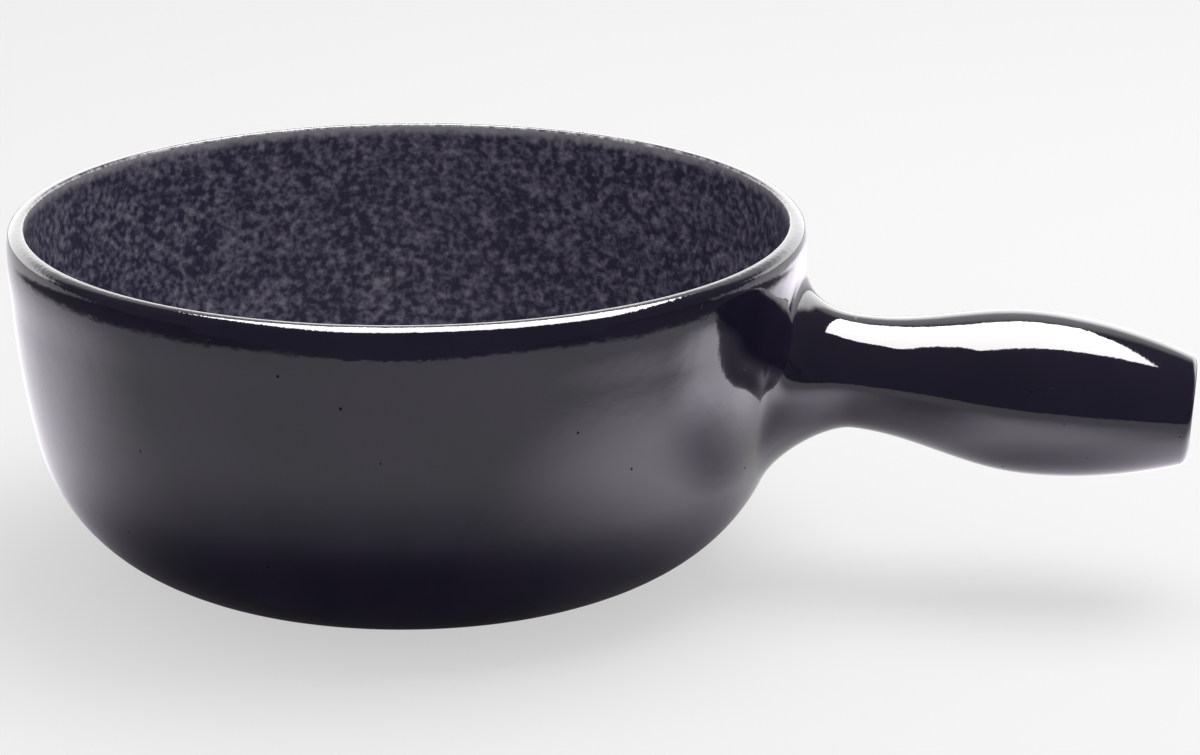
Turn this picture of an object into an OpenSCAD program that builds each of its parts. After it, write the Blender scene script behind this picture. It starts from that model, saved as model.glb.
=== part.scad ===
// Ceramic fondue pot: a round-cornered stoneware bowl with a hollow handle luted to its side,
// lined with a speckled glaze and coated outside with a dark gloss glaze. Millimetres, +Z up.
// The origin is the centre of the foot's underside, and the handle points along +X.

/* [Bowl] */
// Outer diameter over the rim bead
rim_d = 220; // [190:1:260]
// Height from the table to the top of the rim
pot_h = 98.5; // [88:0.5:130]
// Thickness of the side wall, with both coats of glaze
wall_t = 4.3; // [3.5:0.1:6]
// Thickness of the base, with the liner
base_t = 7; // [5:0.1:10]
// Height of the upright stretch of wall under the rim bead
upright_h = 1; // [0.5:0.5:15]
// Radius of the arc that draws the wall in below the upright stretch
belly_arc_r = 220; // [170:1:300]
// Outer radius of the round corner between wall and base
corner_r = 49; // [40:0.5:56]
// Inner radius of the round corner between wall and base
corner_in_r = 42; // [34:0.5:48]

/* [Rim] */
// How far the rim bead stands out from the wall
bead_step = 0.7; // [0.5:0.1:1.5]
// Height of the bead, from where it is widest up to the crest
bead_h = 5.75; // [5:0.05:8]
// Slope of the bead's underside, in degrees from the upright
bead_slope = 35; // [25:1:45]
// Rounding of the bead's lower edge
bead_round = 0.8; // [0.6:0.1:1.5]
// Lean of the bead's face where it meets the shoulder, in degrees from the upright
face_lean = 14; // [8:1:20]
// Rounding of the shoulder, between the face and the crown
shoulder_r = 1.4; // [1:0.1:2]
// How far the broad crown turns down from the crest to the shoulder, in degrees
crown_turn = 42; // [30:1:50]
// Width of the flat crest
crest_w = 0.4; // [0.2:0.1:1]
// Rounding of the rim's inner edge
lip_round = 0.9; // [0.6:0.1:1.2]

/* [Foot] */
// How far the ground flat stands below the glazed underside
foot_h = 1; // [0.5:0.1:2]
// Bare clay between the edge of the ground flat and the edge of the glaze
bare_w = 2; // [1:0.5:10]

/* [Glaze] */
// Thickness of every coat of glaze
glaze_t = 0.4; // [0.2:0.05:0.8]

/* [Handle] */
// Slope of the handle's axis below the horizontal, in degrees
handle_tilt = 4; // [0:0.5:8]
// Radius of the neck
neck_r = 15.6; // [13:0.1:18]
// Radius at the thickest part of the grip
grip_r = 22.4; // [19:0.1:26]
// Radius to which the grip tapers at the handle's end
tail_r = 14.5; // [12:0.1:18]
// Length from the bowl's wall to the neck
neck_off = 16.5; // [14:0.5:24]
// Length from the neck to the thickest part of the grip
grip_off = 47; // [38:0.5:60]
// Length from the thickest part of the grip to the end of the handle
tail_len = 44; // [36:0.5:56]
// Rounding of the edge at the handle's end
end_round = 3; // [1.5:0.1:4.5]
// Thickness of the hollow handle's clay wall
handle_wall = 4.5; // [3.5:0.1:6]
// Width of the flat lip round the open mouth at the handle's end
lip_w = 3.5; // [2:0.1:5]
// Length of the straight mouth
mouth_len = 6; // [4:0.5:9]

/* [Root] */
// How far the root fillet spreads from the neck up the wall
reach_top = 14.1; // [11:0.1:18]
// How far the root fillet spreads from the neck down the wall
reach_bottom = 17.5; // [12:0.5:21]
// Bare wall between the rim bead and the top of the root
root_gap = 0.2; // [0.2:0.1:6]
// How closely the fillet follows the corner on top, as a share of the way into it
hug_top = 0.68; // [0.4:0.01:0.8]
// How closely the fillet follows the corner underneath
hug_bottom = 0.44; // [0.4:0.01:0.8]
// Thickness of the slip between the handle and the bowl
slip_t = 0.8; // [0.5:0.1:1.5]

/* [Hidden] */
$fn = 120;

// Steps along each stretch of an outline, and round the root
corner_steps = 24;
belly_steps = 12;
bead_steps = 4;
face_steps = 5;
crown_steps = 10;
lip_steps = 8;
grip_steps = 32;
edge_steps = 10;
root_steps = 64;
fillet_steps = 12;
seat_steps = 4;
solve_steps = 6;
// Step along the wall over which its direction is taken
probe = 0.5;
// Clearance between the flat facets of the root fillet and the round wall under them
seat_gap = 0.03;
// Overlap of a cutting body past the face that it cuts
cut = 1;

stoneware = [0.76, 0.69, 0.60];
slip_clay = [0.70, 0.62, 0.53];
granite = [0.24, 0.23, 0.27];
dark_glaze = [0.07, 0.06, 0.10];

// Bowl
wall_r = rim_d / 2 - bead_step;
inner_r = wall_r - wall_t;
// Rim: the crown takes the width that the crest, the shoulder and the leaning face leave it, the face
// takes the height, and rim_line is where the bead's underside meets the wall
crest_r = inner_r + lip_round;
lip_z = pot_h - lip_round;
bead_z = pot_h - bead_h;
lean = tan(face_lean / 2);
shoulder_w = shoulder_r * (cos(face_lean) - sin(crown_turn));
shoulder_h = shoulder_r * (cos(crown_turn) - sin(face_lean));
crown_r = (rim_d / 2 - crest_r - crest_w - shoulder_w - lean * (bead_h - shoulder_h))
    / (sin(crown_turn) - lean * (1 - cos(crown_turn)));
face_r = (bead_h - shoulder_h - crown_r * (1 - cos(crown_turn))) / sin(face_lean);
crown = [crest_r + crest_w, pot_h - crown_r];
shoulder = crown + (crown_r - shoulder_r) * [sin(crown_turn), cos(crown_turn)];
rim_line = rim_foot(0).y;
belly_z = rim_line - upright_h;
foot_r = corner_centre(wall_r, belly_arc_r, foot_h, corner_r).x - bare_w;

// Handle: its axis leaves the pot's own axis at axis_z and slopes down along +X
top_r = root_radius(0);
wall_s = wall_r / cos(handle_tilt);
neck_s = wall_s + neck_off;
grip_s = neck_s + grip_off;
end_s = grip_s + tail_len;
top_s = (wall_r - top_r * sin(handle_tilt)) / cos(handle_tilt);
axis_z = rim_line - root_gap + top_s * sin(handle_tilt) - top_r * cos(handle_tilt);
along = [cos(handle_tilt), 0, -sin(handle_tilt)];
upward = [sin(handle_tilt), 0, cos(handle_tilt)];
sideways = [0, 1, 0];
// The rounded edge at the end starts where its arc runs on from the taper
tail_angle = atan(2 * (grip_r - tail_r) / tail_len);
edge_s = end_s - end_round * (1 - sin(tail_angle));
edge_r = grip_radius(edge_s) - end_round * cos(tail_angle);
mouth_r = edge_r - lip_w;
hollow = handle_wall + glaze_t;

// Points on a round stretch of an outline
function arc(centre, r, from, to, steps) =
    [for (i = [0 : steps]) let (a = from + (to - from) * i / steps) centre + r * [cos(a), sin(a)]];
function backwards(points) = [for (i = [len(points) - 1 : -1 : 0]) points[i]];
function without_last(points) = [for (i = [0 : len(points) - 2]) points[i]];

// Side of the bowl, from the flat of the base up to the upright wall: the corner's arc, then the belly's
function belly_centre(r_max, arc_r) = [r_max - arc_r, belly_z];
function corner_angle(arc_r, base_z, round_r) = asin((base_z + round_r - belly_z) / (arc_r - round_r));
function corner_centre(r_max, arc_r, base_z, round_r) =
    let (a = corner_angle(arc_r, base_z, round_r))
    belly_centre(r_max, arc_r) + (arc_r - round_r) * [cos(a), sin(a)];
function side(r_max, arc_r, base_z, round_r) =
    let (a = corner_angle(arc_r, base_z, round_r))
    concat(without_last(arc(corner_centre(r_max, arc_r, base_z, round_r), round_r, -90, a, corner_steps)),
           arc(belly_centre(r_max, arc_r), arc_r, a, 0, belly_steps));
// The outside, inset by k, and the cavity, grown by k
function outside(k) = side(wall_r - k, belly_arc_r - k, foot_h + k, corner_r - k);
function cavity(k) = side(inner_r + k, belly_arc_r - wall_t + k, base_t - k, corner_in_r + k);
// The rim, inset by k: where the bead leaves the wall, then its lower edge, face, shoulder and crown,
// and over the crest the inner edge
function rim_foot(k) =
    let (edge_x = rim_d / 2 - bead_round,
         r = bead_round - k,
         drop = (edge_x + r * cos(bead_slope) - wall_r + k) / tan(bead_slope))
    [wall_r - k, bead_z - r * sin(bead_slope) - drop];
function rim(k) =
    concat([rim_foot(k)],
           without_last(arc([rim_d / 2 - bead_round, bead_z], bead_round - k, -bead_slope, 0, bead_steps)),
           without_last(arc([rim_d / 2 - face_r, bead_z], face_r - k, 0, face_lean, face_steps)),
           without_last(arc(shoulder, shoulder_r - k, face_lean, 90 - crown_turn, bead_steps)),
           arc(crown, crown_r - k, 90 - crown_turn, 90, crown_steps),
           arc([crest_r, lip_z], lip_round - k, 90, 180, lip_steps));

// Outer radius of the wall at height z, inset by k
function wall_radius(z, k) =
    let (a = corner_angle(belly_arc_r, foot_h, corner_r),
         corner = corner_centre(wall_r, belly_arc_r, foot_h, corner_r),
         belly = belly_centre(wall_r, belly_arc_r))
    z >= belly_z ? wall_r - k
    : z - corner.y >= (corner_r - k) * sin(a) ? belly.x + sqrt(pow(belly_arc_r - k, 2) - pow(z - belly.y, 2))
    : corner.x + sqrt(pow(corner_r - k, 2) - pow(z - corner.y, 2));
function wall_x(y, z, k) = sqrt(pow(wall_radius(z, k), 2) - pow(y, 2));

// Radius of the handle at s along its axis: it swells from the neck to the grip and tapers to the end
function grip_radius(s) =
    s < grip_s ? neck_r + (grip_r - neck_r) * (1 - cos(180 * (s - neck_s) / grip_off)) / 2
    : grip_r - (grip_r - tail_r) * pow((s - grip_s) / tail_len, 2);
// Outline of the handle from the neck to the rounded edge, and that edge, both inset by k
function grip_side(k) =
    [for (i = [0 : grip_steps - 1])
        let (s = neck_s + (edge_s - neck_s) * i / grip_steps)
        [grip_radius(s) - k, s]];
function end_edge(k) = arc([edge_r, end_s - end_round], end_round - k, tail_angle, 90, edge_steps);

// Round the handle's axis: a direction at angle t from the top, and a point at s along and r out
function outward(t) = cos(t) * upward + sin(t) * sideways;
function at_axis(s, r, t) = [0, 0, axis_z] + s * along + r * outward(t);
// The point on the wall, inset by k, that lies r out from the handle's axis
function on_wall(r, t, k, s = wall_s, n = solve_steps) =
    let (p = at_axis(s, r, t), x = wall_x(p.y, p.z, k))
    n == 0 ? [x, p.y, p.z] : on_wall(r, t, k, s + (x - p.x) / along.x, n - 1);
// How far from the handle's axis the root reaches, and its edge there on the wall, inset by k
function root_radius(t) = neck_r + reach_bottom + (reach_top - reach_bottom) * (1 + cos(t)) / 2;
function root_edge(t, k) = let (p = on_wall(root_radius(t), t, 0)) [wall_x(p.y, p.z, k), p.y, p.z];
function unit(v) = v / norm(v);
function cubic(a, b, c, d, u) =
    pow(1 - u, 3) * a + 3 * u * pow(1 - u, 2) * b + 3 * pow(u, 2) * (1 - u) * c + pow(u, 3) * d;
// The hollow curve from the neck to the wall at angle t, inset by k
function fillet(t, k) =
    let (start = at_axis(neck_s, neck_r - k, t),
         end = root_edge(t, k),
         r = root_radius(t),
         slope = unit(on_wall(r + probe, t, 0) - on_wall(r - probe, t, 0)),
         out = (end - [0, 0, axis_z]) * outward(t),
         corner = end - slope * (out - neck_r + k) / (slope * outward(t)),
         hug = hug_bottom + (hug_top - hug_bottom) * (1 + cos(t)) / 2)
    [for (i = [0 : fillet_steps])
        cubic(start, start + hug * (corner - start), end + hug * (corner - end), end, i / fillet_steps)];
// The seat of the fillet on the wall, from its edge in to the neck
function seat(t, k) =
    let (r = root_radius(t))
    [for (i = [1 : seat_steps]) on_wall(r - (r - neck_r + k) * i / seat_steps, t, k - seat_gap)];

// A closed ring with one loop of points for each step round the handle
module root_ring(loops) {
    n = len(loops);
    m = len(loops[0]);
    polyhedron(
        points = [for (loop = loops) each loop],
        faces = [for (i = [0 : n - 1]) for (j = [0 : m - 1])
            let (a = i * m, b = (i + 1) % n * m, next = (j + 1) % m)
            each [[a + j, b + j, a + next], [b + j, b + next, a + next]]]);
}

module on_handle_axis() {
    translate([0, 0, axis_z]) rotate([0, 90 + handle_tilt, 0]) children();
}

// The bowl filled solid up to the rim bead, with its outside inset by k
module filled_bowl(k) {
    rotate_extrude() polygon(concat([[0, foot_h + k]], outside(k), [[wall_r - k, rim_line], [0, rim_line]]));
}

module bowl() {
    color(stoneware)
    rotate_extrude()
    polygon(concat([[0, 0], [foot_r, 0], [foot_r, foot_h + glaze_t]], outside(glaze_t), rim(glaze_t),
                   backwards(cavity(glaze_t)), [[0, base_t - glaze_t]]));
}

module handle() {
    color(stoneware)
    difference() {
        on_handle_axis() rotate_extrude()
            polygon(concat([[neck_r - hollow, 0], [neck_r - glaze_t, 0]], grip_side(glaze_t), end_edge(glaze_t),
                           [[mouth_r, end_s - glaze_t], [mouth_r, end_s - mouth_len]],
                           backwards([for (p = grip_side(hollow)) if (p.y < end_s - 2 * mouth_len) p])));
        filled_bowl(glaze_t - slip_t);
    }
}

module luting_slip() {
    color(slip_clay)
    intersection() {
        on_handle_axis() difference() {
            cylinder(r = neck_r - glaze_t, h = neck_s);
            translate([0, 0, -cut]) cylinder(r = neck_r - hollow, h = neck_s + 2 * cut);
        }
        difference() {
            filled_bowl(glaze_t - slip_t);
            filled_bowl(glaze_t);
        }
    }
}

module root_fillet() {
    color(stoneware)
    root_ring([for (i = [0 : root_steps - 1])
        let (t = 360 * i / root_steps)
        concat(fillet(t, glaze_t), seat(t, glaze_t))]);
}

module liner_glaze() {
    color(granite)
    rotate_extrude()
    polygon(concat([[0, base_t - glaze_t]], cavity(glaze_t), [[inner_r + glaze_t, lip_z], [inner_r, lip_z]],
                   backwards(cavity(0)), [[0, base_t]]));
}

module outer_glaze() {
    root_outline = [for (i = [0 : root_steps - 1])
        let (p = root_edge(360 * i / root_steps, 0))
        [p.y, p.z]];
    color(dark_glaze)
    difference() {
        rotate_extrude()
            polygon(concat(outside(0), [[wall_r, rim_line], [wall_r - glaze_t, rim_line]],
                           backwards(outside(glaze_t))));
        rotate([90, 0, 90]) linear_extrude(rim_d) polygon(root_outline);
    }
}

module rim_glaze() {
    color(dark_glaze)
    rotate_extrude()
    polygon(concat([[wall_r - glaze_t, rim_line]], rim(0), backwards(rim(glaze_t))));
}

module handle_glaze() {
    color(dark_glaze)
    on_handle_axis() rotate_extrude()
    polygon(concat(grip_side(0), end_edge(0), [[mouth_r, end_s], [mouth_r, end_s - glaze_t]],
                   backwards(end_edge(glaze_t)), backwards(grip_side(glaze_t))));
}

module root_glaze() {
    color(dark_glaze)
    root_ring([for (i = [0 : root_steps - 1])
        let (t = 360 * i / root_steps)
        concat(fillet(t, 0), backwards(fillet(t, glaze_t)))]);
}

bowl();
handle();
luting_slip();
root_fillet();
liner_glaze();
outer_glaze();
rim_glaze();
handle_glaze();
root_glaze();
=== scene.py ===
"""Looks of a glazed stoneware fondue pot: dark gloss skin, speckled liner, bare clay and a studio."""

import math

import bmesh
import bpy
from bpy.props import FloatProperty, FloatVectorProperty, IntProperty, PointerProperty
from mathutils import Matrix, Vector, noise


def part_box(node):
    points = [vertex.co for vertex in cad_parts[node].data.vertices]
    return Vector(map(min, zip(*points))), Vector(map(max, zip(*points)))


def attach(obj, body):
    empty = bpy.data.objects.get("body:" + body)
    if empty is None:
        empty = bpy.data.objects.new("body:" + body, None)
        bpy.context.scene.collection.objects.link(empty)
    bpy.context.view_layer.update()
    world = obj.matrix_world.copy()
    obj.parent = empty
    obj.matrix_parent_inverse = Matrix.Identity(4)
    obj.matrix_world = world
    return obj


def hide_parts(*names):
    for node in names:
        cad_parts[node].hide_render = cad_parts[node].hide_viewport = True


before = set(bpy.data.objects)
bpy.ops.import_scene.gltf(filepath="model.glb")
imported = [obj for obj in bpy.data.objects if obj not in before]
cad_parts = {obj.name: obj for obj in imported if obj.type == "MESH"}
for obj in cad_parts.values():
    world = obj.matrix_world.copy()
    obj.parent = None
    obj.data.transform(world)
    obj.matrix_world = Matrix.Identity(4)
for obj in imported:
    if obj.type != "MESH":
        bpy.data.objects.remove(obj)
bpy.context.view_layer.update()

bl_info = {
    "name": "Fondue Pot",
    "version": (1, 0, 0),
    "blender": (4, 5, 0),
    "location": "View3D > Sidebar > Fondue Pot",
    "description": "Dresses a glazed stoneware fondue pot and lights it in a plain studio",
    "category": "Object",
}

CLAY_NODES = ("bowl", "handle", "root_fillet")
SLIP_NODES = ("luting_slip",)
SKIN_NODES = ("outer_glaze", "rim_glaze", "handle_glaze", "root_glaze")
LINER_NODES = ("liner_glaze",)

RIM_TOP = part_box("rim_glaze")[1]

WHITE = (1.0, 1.0, 1.0, 1.0)
BLACK = (0.0, 0.0, 0.0, 1.0)

# The patch of wall that is opened round the handle's root: half its angle, the height where it starts, and
# the slack for finding its edges
OPENING_HALF_ANGLE = 0.413
OPENING_LOW = 0.021
OPENING_SLACK = 0.0001

# Least height between the rings of the wall and the first ring of the flare
RING_GAP = 0.0005

# How the glaze rolls over the handle's lip: radius of the roll, its clearance from the clay, and the depth of
# each ring inside the mouth
MOUTH_ROLL = 0.0008
MOUTH_GAP = 0.00005
MOUTH_STEP = 0.0008

# Waves to the metre in the fired glaze, slow and quick
SLOW_WAVES = 28.0
QUICK_WAVES = 65.0

# Where the dark glaze thins to pale frost, partly its own colour and partly a painted highlight: heights over
# the line under the bead, and reach outside the crest
FROST_Z = (0.0015, 0.0035)
FROST_R = (0.0006, -0.0004)

# Where the liner's top edge turns to frost with a painted highlight, as heights from that edge, and where
# painted shade damps the liner's reflection towards its floor
LINER_EDGE_Z = (-0.0018, 0.0016)
LINER_DAMPED_Z = (0.030, 0.010)

# Pools of light on the floor, as the gloss sees them: metres to the camera's right, metres behind the pot,
# radius of the pool, radius of its even middle, and its power
LIGHT_POOLS = (
    (0.15, -0.09, 0.13, 0.02, 1.0),
    (0.25, -0.01, 0.10, 0.03, 1.4),
    (0.30, 0.26, 0.16, 0.05, 1.4),
)

# Shade on the floor, as the gloss sees it: how far behind the pot's middle its shade lies and how far along X
# the grip's, then for each the radius of the shade, the radius of its even middle, and how dark it is outside
# and in the middle
POT_SHADE_BEHIND = -0.035
POT_SHADE = (0.16, 0.07, 0.0, 0.9)
GRIP_SHADE_X = 0.18
GRIP_SHADE = (0.075, 0.01, 0.0, 0.5)

# Painted shade on the floor further off, as the gloss sees it, from the front round to the sides: where it
# starts and is full, and how dark it is before and after, then the distances behind the pot between which it
# gives way
FAR_SHADE = (0.36, 0.40, 0.0, 0.9)
FAR_SHADE_BEHIND = (0.28, 0.20)

# The lit floor, as the gloss sees it: the distances between which it rises towards the back, gives way to the
# right and comes back behind the handle, then where it falls off and from which share to which, and its tint
LIT_BEHIND = (-0.12, 0.03)
LIT_RIGHT = (0.15, 0.0)
LIT_RIGHT_BEHIND = (0.08, 0.16)
LIT_FALL = (0.25, 0.38, 1.0, 0.4)
LIT_TINT = (1.03, 0.95, 1.10, 1.0)

# Softbox, lamp and flag
BOX_TURN = math.radians(22.7)
BOX_SIZE = 1.0
BOX_PLACE = (0.088, 0.308, 1.1)
BOX_TINT = (1.0, 0.985, 0.975, 1.0)
LAMP_PLACE = (0.35, 0.25, 1.2)
FLAG_BEHIND = -0.355
FLAG_SIZE = (1.0, 0.3)
FLAG_TINT = (0.11, 0.11, 0.14, 1.0)

# The room, as the gloss sees it, by how far a direction points to the back: the lit wall, the ceiling, the
# heights between which one gives way to the other, and the levels of the dim room and the ceiling
WALL_BACK = (0.40, 0.58)
CEILING_BACK = (0.58, 0.75)
CEILING_UP = (0.30, 0.50)
DIM_LEVEL = 0.12
CEILING_LEVEL = 0.95


def length(name, description, default):
    """A size in metres."""
    return FloatProperty(name=name, description=description, default=default, min=0.0, precision=5,
                         subtype="DISTANCE", unit="LENGTH")


def slant(name, description, degrees):
    """An angle."""
    return FloatProperty(name=name, description=description, default=math.radians(degrees),
                         subtype="ANGLE", unit="ROTATION")


def colour(name, description, default):
    """A linear colour."""
    return FloatVectorProperty(name=name, description=description, default=default, size=3, min=0.0, max=1.0,
                               subtype="COLOR")


def share(name, description, default, most=1.0):
    """A plain number from 0 upwards."""
    return FloatProperty(name=name, description=description, default=default, min=0.0, max=most, precision=4)


class PotSizes(bpy.types.PropertyGroup):
    """Sizes of the pot, the same as in the part's source."""

    rim_d: length("Rim Diameter", "Outer diameter over the rim bead", round(2 * RIM_TOP[0], 5))
    pot_h: length("Height", "Height from the table to the top of the rim", round(RIM_TOP[2], 5))
    wall_t: length("Wall", "Thickness of the side wall, with both coats of glaze", 0.0043)
    base_t: length("Base", "Thickness of the base, with the liner", 0.007)
    bead_step: length("Bead Step", "How far the rim bead stands out from the wall", 0.0007)
    bead_h: length("Bead Height", "Height of the bead, from where it is widest up to the crest", 0.00575)
    bead_slope: slant("Bead Slope", "Slope of the bead's underside from the upright", 35)
    bead_round: length("Bead Rounding", "Rounding of the bead's lower edge", 0.0008)
    flare_h: length("Flare", "Height over which the glaze fills the hollow under the bead", 0.014)
    face_lean: slant("Face Lean", "Lean of the bead's face where it meets the shoulder", 14)
    shoulder_r: length("Shoulder", "Rounding between the bead's face and the crown", 0.0014)
    crown_turn: slant("Crown Turn", "How far the crown turns down from the crest", 42)
    crest_w: length("Crest", "Width of the flat crest of the rim", 0.0004)
    lip_round: length("Lip Rounding", "Rounding of the rim's inner edge", 0.0009)
    upright_h: length("Upright Wall", "Height of the upright wall under the rim bead", 0.001)
    belly_arc_r: length("Belly Arc", "Radius of the arc that draws the wall in", 0.220)
    corner_r: length("Corner", "Outer radius of the round corner at the base", 0.049)
    corner_in_r: length("Inner Corner", "Inner radius of the round corner at the base", 0.042)
    foot_h: length("Foot", "How far the ground flat stands below the glazed underside", 0.001)
    glaze_t: length("Glaze", "Thickness of a coat of glaze", 0.0004)
    handle_tilt: slant("Handle Slope", "Slope of the handle below the horizontal", 4)
    neck_r: length("Neck", "Radius of the neck", 0.0156)
    grip_r: length("Grip", "Radius at the thickest part of the grip", 0.0224)
    tail_r: length("Tail", "Radius to which the grip tapers at the end", 0.0145)
    neck_off: length("Wall to Neck", "Length from the wall to the neck", 0.0165)
    grip_off: length("Neck to Grip", "Length from the neck to the thickest part of the grip", 0.047)
    tail_len: length("Grip to End", "Length from the thickest part of the grip to the end", 0.044)
    end_round: length("End Rounding", "Rounding of the edge at the handle's end", 0.003)
    lip_w: length("Lip", "Width of the flat lip round the open mouth", 0.0035)
    reach_top: length("Root Reach on Top", "How far the root fillet spreads up the wall", 0.0141)
    reach_bottom: length("Root Reach Below", "How far the root fillet spreads down the wall", 0.0175)
    root_gap: length("Root Gap", "Bare wall between the rim bead and the top of the root", 0.0002)
    hug_top: share("Root Hug on Top", "How closely the fillet follows the corner on top", 0.68)
    hug_bottom: share("Root Hug Below", "How closely the fillet follows the corner underneath", 0.44)
    skin_t: length("Skin", "Thickness of the modelled skin of glaze", 0.0003)
    wave: length("Glaze Wave", "Height of the slow waves in the fired glaze", 0.00003)
    steps: IntProperty(name="Steps Round", description="Steps round the bowl", default=320, min=64, max=400)
    liner_steps: IntProperty(name="Liner Steps", description="Steps round the liner", default=256, min=64,
                             max=400)


class PotFinishes(bpy.types.PropertyGroup):
    """Colours and gloss of the glazes and the clay."""

    dark: colour("Dark Glaze", "Colour of the dark gloss glaze", (0.0145, 0.0108, 0.0280))
    dark_deep: colour("Dark Glaze, Deep", "Colour where the dark glaze lies thick", (0.0103, 0.0084, 0.0210))
    dark_gloss: share("Dark Glaze Roughness", "Roughness of the dark gloss glaze", 0.05)
    # Pinholes are darkened by painted shade, in their colour and in a damped reflection
    shaded_pit: colour("Pinhole", "Colour inside the pinholes of the dark glaze", (0.003, 0.0025, 0.004))
    liner_ground: colour("Liner Ground", "Dark ground of the speckled liner", (0.0400, 0.0360, 0.0740))
    liner_speck: colour("Liner Speckle", "Grey speckle of the liner", (0.215, 0.200, 0.275))
    liner_pale: colour("Liner Pale Speckle", "Palest speckle of the liner", (0.360, 0.330, 0.350))
    liner_gloss: share("Liner Roughness", "Roughness of the satin liner", 0.38)
    # The frost colours: partly the glaze's own pale thinning over the rim, partly a painted highlight, palest
    # along the lip
    frost_and_highlight: colour("Frost", "Colour of the glaze where it thins over the rim's inner edge", (0.52, 0.50, 0.54))
    lip_frost_and_highlight: colour("Lip Frost", "Palest glaze, along the very edge of the rim", (0.90, 0.88, 0.92))
    clay: colour("Clay", "Colour of the fired clay", (0.50, 0.41, 0.31))
    clay_dark: colour("Clay, Dark", "Colour of the iron spots and the scorched clay", (0.30, 0.22, 0.15))
    slip: colour("Slip", "Colour of the fired slip", (0.42, 0.33, 0.25))


class PotStudio(bpy.types.PropertyGroup):
    """Floor, light and camera."""

    floor: colour("Floor", "Colour of the floor", (0.96, 0.96, 0.96))
    whiteness: share("Floor Whiteness", "How far the camera sees the floor as plain white", 0.55)
    level: share("Room Light", "Level of the soft light from all round", 0.45, 4.0)
    lamp: FloatProperty(name="Lamp", description="Power of the soft lamp", default=8.5, min=0.0, unit="POWER")
    box_glow: share("Softbox Glow", "How bright the softbox looks in the gloss", 17.0, 40.0)
    back_glow: share("Backdrop Glow", "How bright the lit backdrop looks in the gloss", 3.0, 10.0)
    floor_glow: share("Floor Glow", "How much brighter the lit floor looks in the gloss", 0.85, 10.0)
    pool_glow: share("Pool Glow", "How much brighter the pools of light look in the gloss", 1.3, 10.0)
    camera_at: FloatVectorProperty(name="Camera", description="Place of the camera", subtype="XYZ",
                                   unit="LENGTH", default=(0.24122, -1.11972, 0.40785))
    camera_turn: FloatVectorProperty(
        name="Camera Turn", description="Turn of the camera", subtype="EULER",
        default=(math.radians(72.720), math.radians(-0.122), math.radians(9.541)))
    lens: FloatProperty(name="Lens", description="Focal length in millimetres", default=129.05, min=1.0)


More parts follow.
